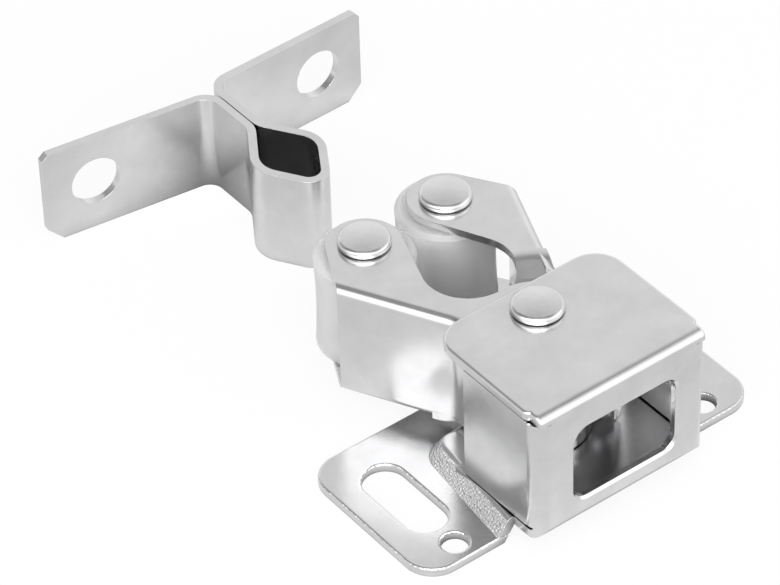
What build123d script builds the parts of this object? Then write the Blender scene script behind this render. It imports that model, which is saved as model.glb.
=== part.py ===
"""Double roller catch: a sprung pair of roller arms in a folded steel housing, and its strike.

All sizes are millimetres. Every piece is drawn about the pivot of the arms, on the mounting
plane, and is moved at the end so that the origin lies midway between the mounting slots.
X runs along the base, +Y points from the back wall to the strike, and Z is up.
"""
from math import acos, asin, atan2, cos, degrees, hypot, radians, sin, tan
import os

from build123d import *

# Sheet and fits
sheet = 0.85               # housing and base
arm_sheet = 0.8            # roller arms
strike_sheet = 0.8         # strike strip
slit = 0.2                 # free gap between the side walls and the pan
seam = 0.08                # closed seam between the side walls and the top plate
arm_play = 0.15            # vertical play of the arms between pan and top plate
ear_play = 0.1             # gap between the two ears stacked at the pivot
shaft_play = 0.05          # radial clearance of a rivet in a hole that turns on it
roller_bore_play = 0.09    # radial clearance of a roller on its rivet
roller_end_play = 0.13     # gap at each end of a roller
edge_round = 0.25          # worn edge of the stamped base

# Base plate with its two ears
base_length = 38.0
base_front = 9.5
base_back = 8.2
base_corner_radius = 3.0
slot_spacing = 28.5
slot_centre_y = 1.1
slot_length = 9.9
slot_width = 4.2
pilot_spacing = 28.5
pilot_centre_y = -6.05
pilot_diameter = 2.5

# Raised pan, pressed up in the middle of the base
pan_rise = 1.7
pan_front = 5.0            # foot of the front riser
pan_foot_front = 9.2       # half width of the pan's foot at its front
pan_foot_back = 10.8       # the same at the rear edge of the base, as the pan widens
pan_shift = -0.3           # middle of the pan, to the right of the pivot
pan_riser_run = 1.15       # how far a riser leans
pan_corner_radius = 2.6
pan_edge_radius = 0.7
pan_wall = 0.64            # thickness of a riser, measured level

# Housing folded up and over the arms
housing_width = 19.3
housing_shift = 0.3        # middle of the housing, to the right of the pivot
housing_height = 15.85
housing_back = 11.5        # outer face of the back wall, behind the pivot
top_front = 3.4            # front edge of the top plate
top_corner_radius = 3.0
side_front = -1.3          # free front edge of the side walls
side_bend_radius = 1.5
top_bend_radius = 0.95
top_edge_round = 0.32      # die roll along the cut edge of the top plate
pan_bend_radius = 1.15
notch_depth = 0.35         # relief at the ends of the bend
notch_length = 1.4
notch_corner_radius = 0.7
window_width = 11.5
window_shift = 0.6         # middle of the window, to the right of the pivot
window_bottom = 4.1
window_top = 12.3
window_corner_radius = 1.5
window_edge = 0.25

# Roller arms: one stamping used twice, turned over for the right side
roller_centre_x = 4.8
roller_centre_y = 17.8
nose_radius = 3.5
throat_centre_y = 9.2
throat_radius = 4.3
shoulder_x = 10.65         # front end of the wall
shoulder_y = 14.6
waist_x = 5.9              # where the wall turns parallel to the side wall
waist_y = 4.4
tail_y = -4.6              # rear end of the wall
ear_tail_y = -1.6          # where the ear leaves the wall behind the pivot
arm_bend_radius = 0.95
waist_bend_radius = 1.2
joggle_radius = 5.6        # foot of the step that lets one ear pass under the other
joggle_run = 3.0
joggle_bend_radius = 4.0
joggle_margin = 0.8        # level rim kept outside the step
arm_swing = 2.65           # the closed pair leans to the left by this many degrees

# Rollers and rivets
roller_radius = 4.7
roller_waist = 0.18        # how much the middle of a roller is hollowed
roller_edge = 0.35
roller_shank_radius = 1.5
pivot_shank_radius = 1.7
head_radius = 2.45
head_height = 1.0
head_crown = 0.22          # how much the middle of the head stands above its edge
head_rim_radius = 0.4
head_lower_radius = 0.3    # round under the rim
foot_radius = 2.2
foot_height = 0.8          # closed head at the lower end
foot_chamfer = 0.3

# Spring round the pivot rivet
wire_radius = 0.4
spring_turns = 5
spring_pitch = 1.0
spring_coil_play = 0.35
spring_leg_reach = 3.6     # how far behind the pivot a leg meets the tail of an arm
spring_leg_gap = 0.1

# Strike, folded from one strip that stands on edge
strike_height = 10.4
strike_half_length = 18.3
left_flange_y = 48.6       # where the sheet of a flange would cross the middle plane
right_flange_y = 49.8
left_flange_lean = 7.8     # degrees that a flange leans back
right_flange_lean = 1.5
strike_neck_y = 41.95      # here and below, where straight runs of the sheet would cross
strike_wide_y = 36.75
strike_wide_half = 3.81
strike_nose_y = 30.65
strike_leg_gap = 0.1
strike_bend_radius = 1.9   # radii are to the middle of the sheet
strike_neck_radius = 2.4
strike_wide_radius = 2.9
strike_nose_radius = 1.5
strike_hole_diameter = 5.1
strike_hole_x = 13.0
strike_hole_z = 5.4
strike_lower_chamfer = 1.6
strike_upper_chamfer = 0.6

# Levels that follow from the sizes above
pan_under = pan_rise
pan_top = pan_rise + sheet
top_under = housing_height - sheet
arm_bottom = pan_top + arm_play
arm_top = top_under - arm_play
joggle_depth = arm_sheet + ear_play
housing_left = housing_shift - housing_width / 2
housing_right = housing_shift + housing_width / 2
half_slots = (slot_spacing - slot_width) / 2 - edge_round
BEYOND = 60.0              # longer than any part, for cutting blocks


def block(x0, x1, y0, y1, z0, z1):
    """A box between two corners."""
    size = Box(x1 - x0, y1 - y0, z1 - z0)
    return Pos((x0 + x1) / 2, (y0 + y1) / 2, (z0 + z1) / 2) * size


def post(x, y, z0, z1, radius):
    """An upright cylinder from z0 to z1."""
    return Pos(x, y, (z0 + z1) / 2) * Cylinder(radius, z1 - z0)


def upright(face, z0, z1):
    """A flat outline raised from z0 to z1."""
    return Pos(0, 0, z0) * extrude(face, z1 - z0)


def edges_on(solid, axis, value, along):
    """Edges of a solid that lie at one coordinate and run along an axis."""
    lines = solid.edges().filter_by(along)
    return lines.filter_by_position(axis, value - 0.01, value + 0.01)


# Housing


def rounded_rectangle(x0, x1, y0, y1, radius):
    """A rectangle with four round corners."""
    face = RectangleRounded(x1 - x0, y1 - y0, radius)
    return Pos((x0 + x1) / 2, (y0 + y1) / 2) * face


def pan_block(inset, z0, rise):
    """The raised middle of the base, with leaning risers; it runs on behind the base."""
    front = pan_foot_front - inset
    flare = (pan_foot_back - pan_foot_front) / (pan_front + base_back)
    far = front + flare * (pan_front + BEYOND)
    foot = make_face(
        Polyline(
            (pan_shift - far, -BEYOND),
            (pan_shift + far, -BEYOND),
            (pan_shift + front, pan_front - inset),
            (pan_shift - front, pan_front - inset),
            close=True,
        )
    )
    foot = fillet(foot.vertices().group_by(Axis.Y)[-1], pan_corner_radius)
    lean = degrees(atan2(pan_riser_run, rise))
    return Pos(0, 0, z0) * extrude(foot, rise, taper=lean)


def base_plate():
    """Both ears and the pressed pan, still without the walls."""
    plate = upright(
        rounded_rectangle(
            -base_length / 2, base_length / 2, -base_back, base_front, base_corner_radius
        ),
        0,
        sheet,
    )
    rim = plate.edges().group_by(Axis.Z)[-1]
    plate = fillet(rim, edge_round)
    raised = pan_block(0, sheet, pan_rise)
    raised = fillet(raised.edges().group_by(Axis.Z)[-1], pan_edge_radius)
    hollow = pan_block(pan_wall, 0, pan_rise)
    lower = block(-BEYOND, BEYOND, -base_back, BEYOND, -1, housing_height)
    base = (plate + (raised & lower)) - (hollow & lower)
    for side in (-1, 1):
        slot = Pos(side * slot_spacing / 2, slot_centre_y)
        slot = slot * Rot(0, 0, 90) * SlotOverall(slot_length, slot_width)
        base -= upright(slot, -1, sheet + 1)
        base -= post(side * pilot_spacing / 2, pilot_centre_y, -1, sheet + 1, pilot_diameter / 2)
    ears = base.faces().filter_by_position(Axis.Z, sheet - 0.01, sheet + 0.01)
    ear = ears.sort_by(SortBy.AREA)[-1]
    rims = [edge for wire in ear.inner_wires() for edge in wire.edges()]
    return fillet([edge for edge in rims if abs(edge.center().X) > half_slots], edge_round)


def wall_ring(z0, z1):
    """Back wall and side walls between two heights, bent round the upright corners."""
    faces = [
        rounded_rectangle(
            housing_left + inset,
            housing_right - inset,
            inset - housing_back,
            BEYOND,
            side_bend_radius - inset,
        )
        for inset in (0, sheet)
    ]
    ring = upright(faces[0], z0, z1) - upright(faces[1], z0, z1)
    return ring & block(-BEYOND, BEYOND, -BEYOND, side_front, z0, z1)


def strip_form(inset, reach):
    """Outer or inner form of the strip that makes pan, back wall and top plate."""
    middle = housing_shift
    back = inset - housing_back
    body = block(
        middle - reach, middle + reach, back, BEYOND, pan_under + inset, housing_height - inset
    )
    upper = edges_on(body, Axis.Y, back, Axis.X).sort_by(Axis.Z)[-1]
    body = fillet(upper, top_bend_radius - inset)
    lower = edges_on(body, Axis.Y, back, Axis.X).sort_by(Axis.Z)[0]
    return fillet(lower, pan_bend_radius - inset)


def housing():
    """Base, pan, back wall, top plate and side walls as one folded sheet."""
    strip = strip_form(0, housing_width / 2) - strip_form(sheet, BEYOND)
    bend_low = pan_under + pan_bend_radius
    bend_high = housing_height - top_bend_radius
    notch_end = notch_length - housing_back
    plate = Pos(housing_shift, (top_front + notch_end) / 2)
    plate = plate * Rectangle(housing_width, top_front - notch_end)
    rows = plate.vertices().group_by(Axis.Y)
    plate = fillet(rows[-1], top_corner_radius)
    plate = fillet(plate.vertices().group_by(Axis.Y)[0], notch_corner_radius)
    tongue = Rectangle(housing_width - 2 * notch_depth, BEYOND)
    plate += Pos(housing_shift, notch_end + (notch_length - BEYOND) / 2) * tongue
    top = strip & upright(plate, bend_high, BEYOND)
    cut_edges = [
        edge
        for edge in top.edges()
        if abs(edge.center().Z - housing_height) < 0.01
        and edge.center().Y > top_bend_radius - housing_back + 0.01
    ]
    top = fillet(cut_edges, top_edge_round)
    corner_round = rounded_rectangle(
        housing_left, housing_right, -housing_back, BEYOND, side_bend_radius
    )
    pan = strip & upright(corner_round, 0, bend_low) & block(-BEYOND, BEYOND, -BEYOND, 0, 0, BEYOND)
    inner_left = housing_left + side_bend_radius
    inner_right = housing_right - side_bend_radius
    back = strip & block(inner_left, inner_right, -BEYOND, sheet - housing_back, bend_low, bend_high)
    corner = side_bend_radius + slit - housing_back
    walls = wall_ring(bend_low, top_under - seam)
    walls += wall_ring(pan_top + slit, bend_low) & block(-BEYOND, BEYOND, corner, 0, 0, BEYOND)
    walls -= block(-BEYOND, BEYOND, -BEYOND, corner, bend_high - seam, BEYOND)
    shell = top + back + pan + walls
    window = RectangleRounded(window_width, window_top - window_bottom, window_corner_radius)
    middle_z = (window_top + window_bottom) / 2
    opening = Pos(window_shift, -housing_back - 1, middle_z) * Rot(-90, 0, 0)
    shell -= opening * extrude(window, sheet + 2)
    rim = shell.faces().sort_by(Axis.Y)[0].inner_wires()[0].edges()
    shell = chamfer(rim, window_edge)
    body = shell + base_plate()
    body -= post(0, 0, 0, BEYOND, pivot_shank_radius)
    return body


# Roller arms


def tangent_points():
    """Where the straight throat edge leaves the nose and meets the throat circle."""
    dx = roller_centre_x
    dy = throat_centre_y - roller_centre_y
    turn = atan2(dy, dx) - asin((nose_radius + throat_radius) / hypot(dx, dy))
    normal_x = -sin(turn)
    normal_y = cos(turn)
    nose = (-roller_centre_x + nose_radius * normal_x, roller_centre_y + nose_radius * normal_y)
    throat = (-throat_radius * normal_x, throat_centre_y - throat_radius * normal_y)
    return nose, throat


def shoulder_tangent():
    """Where the outer edge of the ear leaves the nose on its way to the shoulder."""
    dx = roller_centre_x - shoulder_x
    dy = shoulder_y - roller_centre_y
    turn = atan2(dy, dx) - acos(nose_radius / hypot(dx, dy))
    return (-roller_centre_x + nose_radius * cos(turn), roller_centre_y + nose_radius * sin(turn))


def ear_outline():
    """Flat outline of one ear of the left arm, with the pair closed."""
    pivot_end = throat_centre_y - throat_radius
    diagonal = sin(radians(45))
    nose_start, throat_start = tangent_points()
    nose_end = shoulder_tangent()
    nose_top = (-roller_centre_x, roller_centre_y + nose_radius)
    throat_low = (-throat_radius * diagonal, throat_centre_y - throat_radius * diagonal)
    throat_end = (0, pivot_end)
    disc_start = (-pivot_end * diagonal, -pivot_end * diagonal)
    rim = [
        ThreePointArc(nose_start, nose_top, nose_end),
        Polyline(
            nose_end,
            (-shoulder_x, shoulder_y),
            (-waist_x, waist_y),
            (-waist_x, ear_tail_y),
            disc_start,
        ),
        ThreePointArc(disc_start, (pivot_end, 0), throat_end),
        ThreePointArc(throat_end, throat_low, throat_start),
        Line(throat_start, nose_start),
    ]
    return make_face(rim)


def arm_hollow():
    """Everything on the inner side of the wall, ahead of its front end and beyond the ears."""
    run_x = shoulder_x - waist_x
    run_y = waist_y - shoulder_y
    length = hypot(run_x, run_y)
    ux = run_x / length
    uy = run_y / length
    front_x = -shoulder_x - arm_sheet * uy
    front_y = shoulder_y + arm_sheet * ux
    inner_x = arm_sheet - waist_x
    inner_y = front_y + (inner_x - front_x) * uy / ux
    ahead_x = -shoulder_x + BEYOND * uy
    ahead_y = shoulder_y - BEYOND * ux
    return make_face(
        Polyline(
            (front_x, front_y),
            (inner_x, inner_y),
            (inner_x, -BEYOND),
            (BEYOND, -BEYOND),
            (BEYOND, BEYOND * 2),
            (ahead_x, BEYOND * 2),
            (ahead_x, ahead_y),
            close=True,
        )
    )


def joggled_disc(outline):
    """The part of the lower ear that is pressed up round the pivot, with its leaning step."""
    step_end = joggle_radius + joggle_run
    rim = step_end + joggle_margin
    lifted = arm_bottom + joggle_depth
    under = FilletPolyline(
        (0, lifted), (joggle_radius, lifted), (step_end, arm_bottom), (rim, arm_bottom),
        radius=joggle_bend_radius,
    )
    over = Pos(0, arm_sheet) * under
    section = make_face(
        [under, over, Line((0, lifted), over @ 0), Line((rim, arm_bottom), over @ 1)]
    )
    disc = revolve(Rot(90, 0, 0) * section, Axis.Z)
    return disc & upright(outline, 0, BEYOND), rim


def left_arm():
    """Pressed channel: outer wall, plain upper ear and joggled lower ear."""
    outline = ear_outline()
    tail = Pos(arm_sheet / 2 - waist_x, (tail_y + waist_y) / 2)
    tail = tail * Rectangle(arm_sheet, waist_y - tail_y)
    body = upright(outline + tail, arm_bottom, arm_top)
    waist = body.edges().filter_by(Axis.Z).sort_by_distance((-waist_x, waist_y, arm_bottom))[0]
    body = fillet(waist, waist_bend_radius + arm_sheet)
    rims = [
        edge
        for edge in body.edges()
        if edge.center().X < -waist_x + 0.01
        and edge.center().Y < shoulder_y - 0.1
        and abs(edge.tangent_at(0.5).Z) < 0.5
        and edge.length > 0.5 * waist_bend_radius
    ]
    body = fillet(rims, arm_bend_radius)
    hollow = upright(arm_hollow(), arm_bottom + arm_sheet, arm_top - arm_sheet)
    bends = [
        edge
        for edge in hollow.edges()
        if abs(edge.tangent_at(0.5).Z) < 0.5
        and edge.center().X < arm_sheet - waist_x + 0.01
        and edge.center().Y < shoulder_y
        and edge.center().X > -shoulder_x
    ]
    body -= fillet(bends, arm_bend_radius - arm_sheet)
    disc, rim = joggled_disc(outline)
    ring = arm_hollow() & Circle(rim)
    body -= upright(ring, 0, arm_bottom + arm_sheet)
    body += disc
    body -= post(0, 0, 0, BEYOND, pivot_shank_radius + shaft_play)
    body -= post(-roller_centre_x, roller_centre_y, 0, BEYOND, roller_shank_radius)
    return body


def turned_over(solid):
    """The same stamping used on the right side, turned over about the Y axis."""
    middle = arm_bottom + arm_top
    return Pos(0, 0, middle) * Rot(0, 180, 0) * solid


def swung(solid):
    """Lean a piece of the closed pair about the pivot."""
    return Rot(0, 0, arm_swing) * solid


# Rollers


def roller(side):
    """Plastic roller with rounded ends and a slightly hollowed middle."""
    low = arm_bottom + arm_sheet + roller_end_play
    high = arm_top - arm_sheet - roller_end_play
    bore = roller_shank_radius + roller_bore_play
    waist = ThreePointArc(
        (roller_radius, low + roller_edge),
        (roller_radius - roller_waist, (low + high) / 2),
        (roller_radius, high - roller_edge),
    )
    section = make_face(
        [
            Polyline(
                (roller_radius, high - roller_edge),
                (roller_radius - roller_edge, high),
                (bore, high),
                (bore, low),
                (roller_radius - roller_edge, low),
                (roller_radius, low + roller_edge),
            ),
            waist,
        ]
    )
    body = revolve(Rot(90, 0, 0) * section, Axis.Z)
    return swung(Pos(side * roller_centre_x, roller_centre_y) * body)


# Rivets


def rivet(shank_radius, seat, foot):
    """Rivet with a domed head on its seat and a low one at its foot."""
    top = seat + head_height
    edge = top - head_crown
    foot_end = foot - foot_height
    section = make_face(
        [
            ThreePointArc((-head_radius, edge), (0, top), (head_radius, edge)),
            Polyline(
                (head_radius, edge),
                (head_radius, seat),
                (shank_radius, seat),
                (shank_radius, foot),
                (foot_radius, foot),
                (foot_radius, foot_end + foot_chamfer),
                (foot_radius - foot_chamfer, foot_end),
                (foot_chamfer - foot_radius, foot_end),
                (-foot_radius, foot_end + foot_chamfer),
                (-foot_radius, foot),
                (-shank_radius, foot),
                (-shank_radius, seat),
                (-head_radius, seat),
                (-head_radius, edge),
            ),
        ]
    )
    corners = section.vertices()
    section = fillet([v for v in corners if abs(v.Y - edge) < 0.01], head_rim_radius)
    corners = [v for v in section.vertices() if abs(abs(v.X) - head_radius) < 0.01]
    section = fillet([v for v in corners if abs(v.Y - seat) < 0.01], head_lower_radius)
    section &= Pos(head_radius, 0) * Rectangle(2 * head_radius, BEYOND)
    return revolve(Rot(90, 0, 0) * section, Axis.Z)


def roller_rivet(side):
    """Rivet that carries a roller between the ears of an arm."""
    body = rivet(roller_shank_radius, arm_top, arm_bottom)
    return swung(Pos(side * roller_centre_x, roller_centre_y) * body)


def pivot_rivet():
    """Rivet through top plate, both arms and pan."""
    return rivet(pivot_shank_radius, housing_height, pan_under)


# Spring


def spring():
    """Torsion spring round the pivot, with a leg against the tail of each arm."""
    coil = pivot_shank_radius + spring_coil_play + wire_radius
    leg_x = waist_x - arm_sheet - wire_radius - spring_leg_gap
    reach = hypot(leg_x, spring_leg_reach)
    start = acos(coil / reach) - atan2(spring_leg_reach, leg_x)
    turned = 180 - 2 * degrees(start)
    height = spring_pitch * (spring_turns + turned / 360)
    base = (arm_bottom + arm_top - height) / 2
    leg = (leg_x ** 2 + spring_leg_reach ** 2 - coil ** 2) ** 0.5
    coils = Pos(0, 0, base) * Rot(0, 0, degrees(start)) * Helix(spring_pitch, height, coil)
    way_in = coils % 0
    way_out = coils % 1
    foot = coils @ 0 - way_in * leg
    head = coils @ 1 + way_out * leg
    path = Wire([Line(foot, coils @ 0).edge(), coils.edge(), Line(coils @ 1, head).edge()])
    body = sweep(Plane(foot, z_dir=way_in) * Circle(wire_radius), path=path, is_frenet=True)
    return swung(body)


# Strike


def flange_end(half_length, crossing_y, lean):
    """Height of a flange's sheet above the X axis, at a distance from the middle plane."""
    return crossing_y + half_length * tan(radians(lean))


def strike_path():
    """Mid-sheet line of the strip, seen from above, from the left flange to the right one."""
    leg_x = (strike_sheet + strike_leg_gap) / 2
    corners = [
        (
            -strike_half_length,
            flange_end(strike_half_length, left_flange_y, left_flange_lean),
        ),
        (-leg_x, left_flange_y),
        (-leg_x, strike_neck_y),
        (-strike_wide_half, strike_wide_y),
        (0, strike_nose_y),
        (strike_wide_half, strike_wide_y),
        (leg_x, strike_neck_y),
        (leg_x, right_flange_y),
        (
            strike_half_length,
            flange_end(strike_half_length, right_flange_y, right_flange_lean),
        ),
    ]
    radii = [
        strike_bend_radius,
        strike_neck_radius,
        strike_wide_radius,
        strike_nose_radius,
        strike_wide_radius,
        strike_neck_radius,
        strike_bend_radius,
    ]
    return FilletPolyline(*corners, radius=radii)


def cut_corner(strip, side, upper, size):
    """Chamfer one corner at the free end of a flange."""
    ends = [
        edge
        for edge in strip.edges()
        if abs(edge.length - strike_sheet) < 0.01
        and side * edge.center().X > strike_half_length - strike_sheet
    ]
    ends.sort(key=lambda edge: edge.center().Z)
    return chamfer(ends[-1] if upper else ends[0], size)


def strike():
    """One strip folded into two flanges, a closed neck and a kite-shaped loop."""
    path = strike_path()
    section = Plane(path @ 0, x_dir=(0, 0, 1), z_dir=path % 0)
    strip = sweep(section * Rectangle(strike_height, strike_sheet), path=path)
    strip = Pos(0, 0, strike_height / 2) * strip
    flanges = ((-1, left_flange_y, left_flange_lean), (1, right_flange_y, right_flange_lean))
    for side, crossing_y, lean in flanges:
        y = flange_end(strike_hole_x, crossing_y, lean)
        place = Pos(side * strike_hole_x, y, strike_hole_z) * Rot(0, 0, side * lean)
        strip -= place * Rot(90, 0, 0) * Cylinder(strike_hole_diameter / 2, 3 * strike_sheet)
        strip = cut_corner(strip, side, False, strike_lower_chamfer)
        strip = cut_corner(strip, side, True, strike_upper_chamfer)
    return strip


arm = left_arm()
nodes = {
    "housing": housing(),
    "pivot_rivet": pivot_rivet(),
    "arm_left": swung(arm),
    "arm_right": swung(turned_over(arm)),
    "roller_left": roller(-1),
    "roller_right": roller(1),
    "roller_rivet_left": roller_rivet(-1),
    "roller_rivet_right": roller_rivet(1),
    "spring": spring(),
    "strike": strike(),
}

os.makedirs("parts", exist_ok=True)
for name, solid in nodes.items():
    export_step(Pos(0, -slot_centre_y) * solid, f"parts/{name}.step")
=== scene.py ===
"""A double roller catch and its strike, seen as a product picture on a pale floor.

Everything is in metres. The origin lies on the mounting plane, midway between the mounting slots.
"""
import math

import bmesh
import bpy
from mathutils import Matrix, Vector


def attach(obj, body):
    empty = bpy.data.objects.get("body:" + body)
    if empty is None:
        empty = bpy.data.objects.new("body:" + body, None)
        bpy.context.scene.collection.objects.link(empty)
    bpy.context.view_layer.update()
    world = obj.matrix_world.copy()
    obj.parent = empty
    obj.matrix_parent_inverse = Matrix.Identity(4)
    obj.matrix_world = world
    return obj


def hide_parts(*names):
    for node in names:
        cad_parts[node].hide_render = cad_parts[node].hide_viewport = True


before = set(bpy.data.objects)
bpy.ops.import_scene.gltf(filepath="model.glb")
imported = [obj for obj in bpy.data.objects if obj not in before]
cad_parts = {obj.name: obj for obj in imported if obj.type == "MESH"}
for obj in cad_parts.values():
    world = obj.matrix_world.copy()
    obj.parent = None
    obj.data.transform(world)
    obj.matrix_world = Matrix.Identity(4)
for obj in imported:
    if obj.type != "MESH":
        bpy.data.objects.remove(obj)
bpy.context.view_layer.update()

MM = 0.001

# Housing. One blank of 0.85 mm cold rolled steel, pierced and folded up into a box round the arms.
# It is zinc plated after forming: faintly clouded over the grain of the sheet, polished along its
# edges by the barrel, and grainy where the risers of the pan were stretched.
def fill(tree, node, inputs):
    """Set a node's inputs to values, or join them to the outputs of other nodes."""
    for name, value in inputs.items():
        if isinstance(value, bpy.types.NodeSocket):
            tree.links.new(value, node.inputs[name])
        else:
            node.inputs[name].default_value = value


def add(tree, kind, inputs, **settings):
    """A new shader node with its settings and inputs."""
    node = tree.nodes.new("ShaderNode" + kind)
    for name, value in settings.items():
        setattr(node, name, value)
    fill(tree, node, inputs)
    return node


def fade(tree, value, start, end, first=0.0, last=1.0, curve="LINEAR"):
    """A number that goes from first to last while a value goes from start to end."""
    inputs = {"Value": value, "From Min": start, "From Max": end, "To Min": first, "To Max": last}
    return add(tree, "MapRange", inputs, interpolation_type=curve).outputs["Result"]


def product(tree, first, second):
    """Two numbers multiplied."""
    return add(tree, "Math", {0: first, 1: second}, operation="MULTIPLY").outputs["Value"]


def along(tree, first, second):
    """The dot product of two directions."""
    inputs = {0: first, 1: second}
    return add(tree, "VectorMath", inputs, operation="DOT_PRODUCT").outputs["Value"]


def height_of(tree, vector):
    """The upright part of a place or a direction."""
    return add(tree, "SeparateXYZ", {"Vector": vector}).outputs["Z"]


def mixed(tree, amount, first, second):
    """A colour between two others."""
    return add(tree, "Mix", {0: amount, 6: first, 7: second}, data_type="RGBA").outputs[2]


def scaled(tree, colour, amount):
    """A colour made darker or brighter."""
    inputs = {0: colour, "Scale": amount}
    return add(tree, "VectorMath", inputs, operation="SCALE").outputs["Vector"]


def openness(tree, reach_mm, samples):
    """How open a place is, from 0 deep in a crevice to 1 with nothing near it."""
    inputs = {"Distance": reach_mm * MM}
    return add(tree, "AmbientOcclusion", inputs, samples=samples).outputs["AO"]


def object_place(tree):
    """The place of a point on its own piece."""
    return add(tree, "TexCoord", {}).outputs["Object"]


def plated_steel(name, colour, cloud, roughness, grain_mm, edge_mm, hollow_shade_level, grain_along=(1, 1, 1)):
    """Zinc plate over rolled steel: clouds, grain, worn edges, and painted shade in folds and
    hollows.
    """
    material = bpy.data.materials.new(name)
    material.use_nodes = True
    tree = material.node_tree
    place = object_place(tree)

    cloud_pattern = {"Vector": place, "Scale": 260.0, "Detail": 5.0, "Roughness": 0.6}
    clouds = add(tree, "TexNoise", cloud_pattern).outputs["Fac"]
    thin = (*(c * (1 - cloud) for c in colour), 1)
    thick = (*(min(1, c * (1 + cloud)) for c in colour), 1)
    tint = mixed(tree, clouds, thin, thick)

    stretched = add(tree, "Mapping", {"Vector": place, "Scale": grain_along}).outputs["Vector"]
    grain_pattern = {"Scale": 1 / (grain_mm * MM), "Detail": 4.0, "Roughness": 0.65}
    grain = add(tree, "TexNoise", {"Vector": stretched, **grain_pattern}).outputs["Fac"]
    rounded = add(tree, "Bevel", {"Radius": edge_mm * MM}, samples=6).outputs["Normal"]
    relief = {"Strength": 0.35, "Distance": 0.1 * grain_mm * MM}
    bumpy = add(tree, "Bump", {"Height": grain, "Normal": rounded, **relief}).outputs["Normal"]

    facing = add(tree, "NewGeometry", {}).outputs["Normal"]
    worn = fade(tree, along(tree, rounded, facing), 0.995, 0.8)
    shaded = mixed(tree, worn, tint, (0.88, 0.88, 0.885, 1))
    # Painted shade: the colour is darkened in tight crevices and in deep hollows, where less light
    # reaches.
    painted_crevice_shade = (0.5, 0.5, 0.3, 0.62)
    painted_hollow_shade = (9.0, hollow_shade_level, 0.12, 0.55)
    for reach_mm, dark, closed, clear in (painted_crevice_shade, painted_hollow_shade):
        light = openness(tree, reach_mm, 6)
        shaded = scaled(tree, shaded, fade(tree, light, closed, clear, dark, 1.0, "SMOOTHSTEP"))

    matt = fade(tree, grain, 0.3, 0.7, roughness * 0.8, roughness * 1.2)
    smoother = add(tree, "Mix", {0: worn, 2: matt, 3: roughness * 0.7}).outputs[0]
    finish = {"Metallic": 1.0, "Base Color": shaded, "Roughness": smoother, "Normal": bumpy}
    fill(tree, tree.nodes["Principled BSDF"], finish)
    return material


def give(node, material):
    """Lay a material on a piece that came from the frame."""
    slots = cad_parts[node].data.materials
    slots.clear()
    slots.append(material)


housing_plate = plated_steel(
    "housing_plate", (0.80, 0.80, 0.805), cloud=0.15, roughness=0.21, grain_mm=0.11, edge_mm=0.06,
    hollow_shade_level=0.26,
)
tree = housing_plate.node_tree
skin = tree.nodes["Principled BSDF"]
place = object_place(tree)
lean = height_of(tree, add(tree, "NewGeometry", {}).outputs["True Normal"])
sloping = product(tree, fade(tree, lean, 0.85, 0.7), fade(tree, lean, 0.3, 0.45))
smooth_above, grainy_below = 3.2 * MM, 2.8 * MM
pressed = fade(tree, height_of(tree, place), smooth_above, grainy_below, 0.0, 0.9)
crystal_mm = 0.26
crystals = add(tree, "TexVoronoi", {"Vector": place, "Scale": 1 / (crystal_mm * MM)})
peel = {
    "Strength": product(tree, sloping, pressed),
    "Distance": 0.09 * MM,
    "Height": crystals.outputs["Distance"],
    "Normal": skin.inputs["Normal"].links[0].from_socket,
}
fill(tree, skin, {"Normal": add(tree, "Bump", peel).outputs["Normal"]})
give("housing", housing_plate)

# Pivot rivet. A solid steel rivet, zinc plated like the rest, set by a struck tool from above.
# Its head is low and domed and lies on the top plate; its shank carries both arms.
rivet_plate = plated_steel(
    "rivet_plate", (0.78, 0.78, 0.785), cloud=0.10, roughness=0.2, grain_mm=0.5, edge_mm=0.12,
    hollow_shade_level=0.8,
)
give("pivot_rivet", rivet_plate)

# Roller arms. One stamping in 0.8 mm steel, used on both sides, satin from tumbling; the outer
# wall is folded, and its two ears hold a roller between them.
arm_plate = plated_steel(
    "arm_plate", (0.79, 0.79, 0.795), cloud=0.14, roughness=0.2, grain_mm=0.12, edge_mm=0.06,
    hollow_shade_level=1.0,
)
for arm in ("arm_left", "arm_right"):
    give(arm, arm_plate)

# Roller rivets. Each is a steel rivet of the same make as the pivot's, passes through both ears
# of an arm and its roller, and is headed on top.
for rivet in ("roller_rivet_left", "roller_rivet_right"):
    give(rivet, rivet_plate)

# Rollers. Moulded in a pale, slightly waxy plastic, with a dull skin from the mould and a faint
# grey bloom where the strike rubs them. Painted light stands in for light spreading through the
# plastic: the colour is made paler where the roller is closed in and shaded. Each turns on its
# rivet.
def grey(level):
    """A neutral colour."""
    return (level, level, level, 1)


roller_plastic = bpy.data.materials.new("roller_plastic")
roller_plastic.use_nodes = True
tree = roller_plastic.node_tree
place = object_place(tree)
bloom = add(tree, "TexNoise", {"Vector": place, "Scale": 500.0, "Detail": 4.0}).outputs["Fac"]
tint = mixed(tree, bloom, grey(0.54), grey(0.60))
# Painted light: the colour turns paler where the roller is closed in, standing in for light
# carried through the plastic.
painted_inner_light = fade(tree, openness(tree, 9.0, 8), 0.6, 0.2, curve="SMOOTHSTEP")
mould = add(tree, "TexNoise", {"Vector": place, "Scale": 6000.0}).outputs["Fac"]
mould_relief = {"Height": mould, "Strength": 0.3, "Distance": 0.01 * MM}
waxy = {
    "Base Color": mixed(tree, painted_inner_light, tint, grey(0.92)),
    "Roughness": 0.45,
    "IOR": 1.5,
    "Subsurface Weight": 1.0,
    "Subsurface Scale": 7.0 * MM,
    "Subsurface Radius": (1.0, 1.0, 1.0),
    "Normal": add(tree, "Bump", mould_relief).outputs["Normal"],
}
fill(tree, tree.nodes["Principled BSDF"], waxy)
for roller in ("roller_left", "roller_right"):
    give(roller, roller_plastic)

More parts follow.
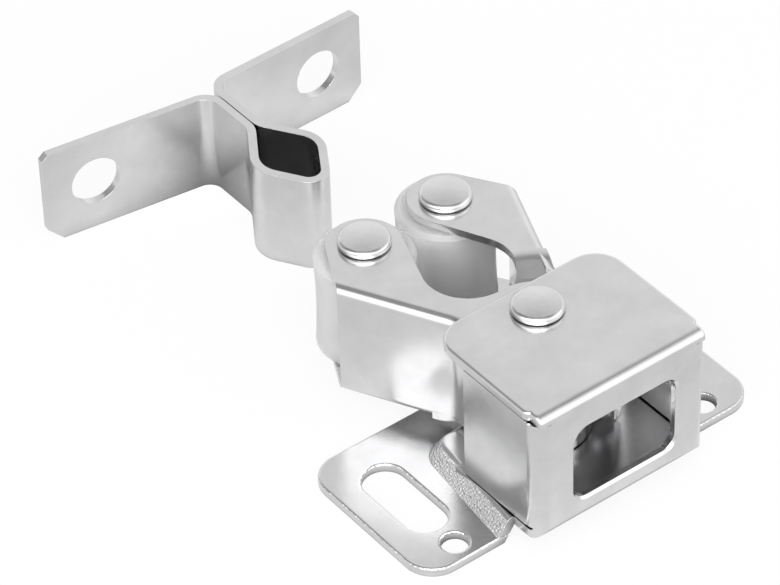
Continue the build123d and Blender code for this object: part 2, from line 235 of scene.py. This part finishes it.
# Spring. Drawn round wire of 0.8 mm, darker than the plated sheet, wound about the pivot rivet,
# with a straight leg pressed against the tail of each arm. The rivet holds the coil and each leg
# goes round with its arm, so the spring is made of a coil and two legs.
def wire(name, path, radius, sides=12):
    """Round wire along a list of points, with closed ends."""
    mesh = bmesh.new()
    rings = []
    for i, point in enumerate(path):
        forward = (path[min(i + 1, len(path) - 1)] - path[max(i - 1, 0)]).normalized()
        across = forward.cross(Vector((0, 0, 1))).normalized()
        above = across.cross(forward)
        ring = []
        for k in range(sides):
            angle = 2 * math.pi * k / sides
            offset = across * math.cos(angle) + above * math.sin(angle)
            ring.append(mesh.verts.new(point + offset * radius))
        rings.append(ring)
    for first, second in zip(rings, rings[1:]):
        for k in range(sides):
            mesh.faces.new((first[k], first[k - 1], second[k - 1], second[k]))
    mesh.faces.new(rings[0])
    mesh.faces.new(reversed(rings[-1]))
    bmesh.ops.recalc_face_normals(mesh, faces=mesh.faces)
    for face in mesh.faces:
        face.smooth = len(face.verts) == 4
    data = bpy.data.meshes.new(name)
    mesh.to_mesh(data)
    mesh.free()
    piece = bpy.data.objects.new(name, data)
    bpy.context.scene.collection.objects.link(piece)
    return piece


pivot = Vector((0, -1.1, 0)) * MM
wire_radius = 0.4 * MM
leg_radius = 0.39 * MM
leg_length = 5.25 * MM
leg_overlap = 24           # degrees that a leg runs on inside the end of the coil
coil_radius = 2.45 * MM
coil_foot = 6.1 * MM
pitch = 1.0 * MM
whole_turns = 5
part_turn = 125.7          # degrees from the last whole turn to the left leg
first_turn = 29.8          # degrees from the X axis to the right leg
last_turn = first_turn + 360 * whole_turns + part_turn


def on_coil(degrees):
    """Middle of the wire at an angle wound up from the first turn."""
    angle = math.radians(degrees)
    rise = coil_foot + pitch * (degrees - first_turn) / 360
    return pivot + Vector((coil_radius * math.cos(angle), coil_radius * math.sin(angle), rise))


coil_steps, bend_steps, leg_steps = 220, 8, 6
step = (last_turn - first_turn) / coil_steps
coil = wire(
    "spring_coil", [on_coil(first_turn + step * i) for i in range(coil_steps + 1)], wire_radius
)
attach(coil, "housing")
legs = []
for side, end, inward in (("right", first_turn, 1), ("left", last_turn, -1)):
    overlap = inward * leg_overlap
    bend = [on_coil(end + overlap * (1 - i / bend_steps)) for i in range(bend_steps + 1)]
    away = (on_coil(end - inward) - on_coil(end)).normalized()
    tip = bend[-1] + away * leg_length
    straight = [bend[-1].lerp(tip, i / leg_steps) for i in range(1, leg_steps + 1)]
    leg = wire(f"spring_leg_{side}", bend + straight, leg_radius)
    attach(leg, f"arm_{side}")
    legs.append(leg)
spring_wire = plated_steel(
    "spring_wire", (0.62, 0.62, 0.64), cloud=0.08, roughness=0.3, grain_mm=0.08, edge_mm=0.03,
    hollow_shade_level=0.8, grain_along=(1.0, 1.0, 0.2),
)
for piece in (coil, *legs):
    piece.data.materials.append(spring_wire)
    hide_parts("spring")

# Strike. One strip of 0.8 mm steel on edge: two screw flanges, a neck folded flat together and a
# kite-shaped loop whose nose parts the rollers. It is plated with the catch.
strike_plate = plated_steel(
    "strike_plate", (0.76, 0.76, 0.765), cloud=0.13, roughness=0.18, grain_mm=0.11, edge_mm=0.07,
    hollow_shade_level=0.8,
)
give("strike", strike_plate)

# Floor. A pale table that keeps the catch's own soft shadow. In the plating's reflections it is a
# painted glow, with painted shade that makes it darker close to the catch.
def tone_scale(tree, value, levels):
    """Greys set out along a value."""
    node = add(tree, "ValToRGB", {"Fac": value})
    stops = node.color_ramp.elements
    for stop, (position, level) in zip(stops, (levels[0], levels[-1])):
        stop.position, stop.color = position, grey(level)
    for position, level in levels[1:-1]:
        stops.new(position).color = grey(level)
    return node.outputs["Color"]


def either(tree, amount, first, second):
    """A shader between two others."""
    return add(tree, "MixShader", {0: amount, 1: first, 2: second}).outputs["Shader"]


table_half_size = 3.0
floor_mesh = bmesh.new()
bmesh.ops.create_grid(floor_mesh, x_segments=1, y_segments=1, size=table_half_size)
floor_data = bpy.data.meshes.new("floor")
floor_mesh.to_mesh(floor_data)
floor_mesh.free()
floor = bpy.data.objects.new("floor", floor_data)
bpy.context.scene.collection.objects.link(floor)
pale_table = bpy.data.materials.new("pale_table")
pale_table.use_nodes = True
tree = pale_table.node_tree
tree.nodes.clear()
rays = add(tree, "LightPath", {})
matt = add(tree, "BsdfDiffuse", {"Color": grey(0.86)}).outputs["BSDF"]
# Painted reflection: the floor glows for mirror rays only, with painted shade making it darker
# where the catch closes round it.
painted_mirror_shade = tone_scale(
    tree,
    openness(tree, 12.0, 8),
    ((0.15, 0.05), (0.38, 0.45), (0.52, 0.8), (0.7, 0.93), (0.86, 0.79), (0.97, 0.72)),
)
painted_mirror_glow = add(tree, "Emission", {"Color": painted_mirror_shade}).outputs["Emission"]
white = add(tree, "Emission", {}).outputs["Emission"]
table_paleness = 0.9
in_mirror = either(tree, rays.outputs["Is Glossy Ray"], matt, painted_mirror_glow)
in_camera = either(tree, table_paleness, matt, white)
seen = either(tree, rays.outputs["Is Camera Ray"], in_mirror, in_camera)
add(tree, "OutputMaterial", {"Surface": seen})
floor_data.materials.append(pale_table)

# Studio. A pale room for the camera and the reflections: a dark ring near the top of the room, a
# dark card ahead on the left, brighter walls on both sides of the camera, and three soft boxes.
world = bpy.data.worlds.new("studio")
bpy.context.scene.world = world
world.use_nodes = True
tree = world.node_tree
tree.nodes.clear()
direction = add(tree, "TexCoord", {}).outputs["Generated"]
room_tone = tone_scale(
    tree,
    height_of(tree, direction),
    (
        (0.0, 0.85), (0.25, 0.98), (0.52, 0.92), (0.65, 0.78), (0.83, 0.62), (0.88, 0.26),
        (0.94, 0.26), (0.98, 0.6), (1.0, 0.62),
    ),
)
dark_card = ((-0.50, 0.62, 0.62), 0.94, 0.83, 0.43)
left_wall = ((-0.80, 0.0, 0.6), 0.97, 0.85, 1.8)
right_wall = ((0.45, -0.65, 0.55), 0.93, 0.72, 1.4)
for axis, inner, outer, level in (dark_card, left_wall, right_wall):
    towards = along(tree, direction, Vector(axis).normalized())
    room_tone = scaled(
        tree, room_tone, fade(tree, towards, outer, inner, 1.0, level, "SMOOTHSTEP")
    )
room = add(tree, "Background", {"Color": room_tone}).outputs["Background"]
backdrop = add(tree, "Background", {"Color": grey(1.0), "Strength": 1.0}).outputs["Background"]
camera_ray = add(tree, "LightPath", {}).outputs["Is Camera Ray"]
add(tree, "OutputWorld", {"Surface": either(tree, camera_ray, room, backdrop)})

soft_boxes = (
    ("key", (-0.25, -0.10, 0.35), 0.30, 0.10),
    ("fill", (0.30, -0.25, 0.20), 0.30, 0.06),
    ("front", (-0.18, -0.24, 0.27), 0.36, 1.25),
)
for name, position, size, power in soft_boxes:
    lamp = bpy.data.lights.new(name, "AREA")
    lamp.shape = "SQUARE"
    lamp.size = size
    lamp.energy = power
    box = bpy.data.objects.new(name, lamp)
    box.location = position
    box.rotation_euler = (-Vector(position)).to_track_quat("-Z", "Y").to_euler()
    bpy.context.scene.collection.objects.link(box)

# Camera. A long lens from behind and above the left of the housing.
azimuth = math.radians(-36.72)
elevation = math.radians(40.63)
roll = math.radians(-1.66)
target = Vector((4.409, 25.155, 0.0)) * MM
distance = 405.07 * MM
forward = Vector(
    (
        -math.sin(azimuth) * math.cos(elevation),
        math.cos(azimuth) * math.cos(elevation),
        -math.sin(elevation),
    )
)
right = Vector((math.cos(azimuth), math.sin(azimuth), 0.0))
up = right.cross(forward)
tilted_right = right * math.cos(roll) + up * math.sin(roll)
tilted_up = up * math.cos(roll) - right * math.sin(roll)
lens = bpy.data.cameras.new("camera")
lens.sensor_fit = "HORIZONTAL"
lens.sensor_width = 36.0
lens.lens = 199.2
lens.shift_x = -0.0090
lens.shift_y = -0.0234
lens.clip_start = 0.01
lens.clip_end = 20.0
camera = bpy.data.objects.new("camera", lens)
axes = Matrix((tilted_right, tilted_up, -forward)).transposed()
camera.matrix_world = Matrix.Translation(target - forward * distance) @ axes.to_4x4()
bpy.context.scene.collection.objects.link(camera)
bpy.context.scene.camera = camera
bpy.context.scene.view_settings.view_transform = "Standard"
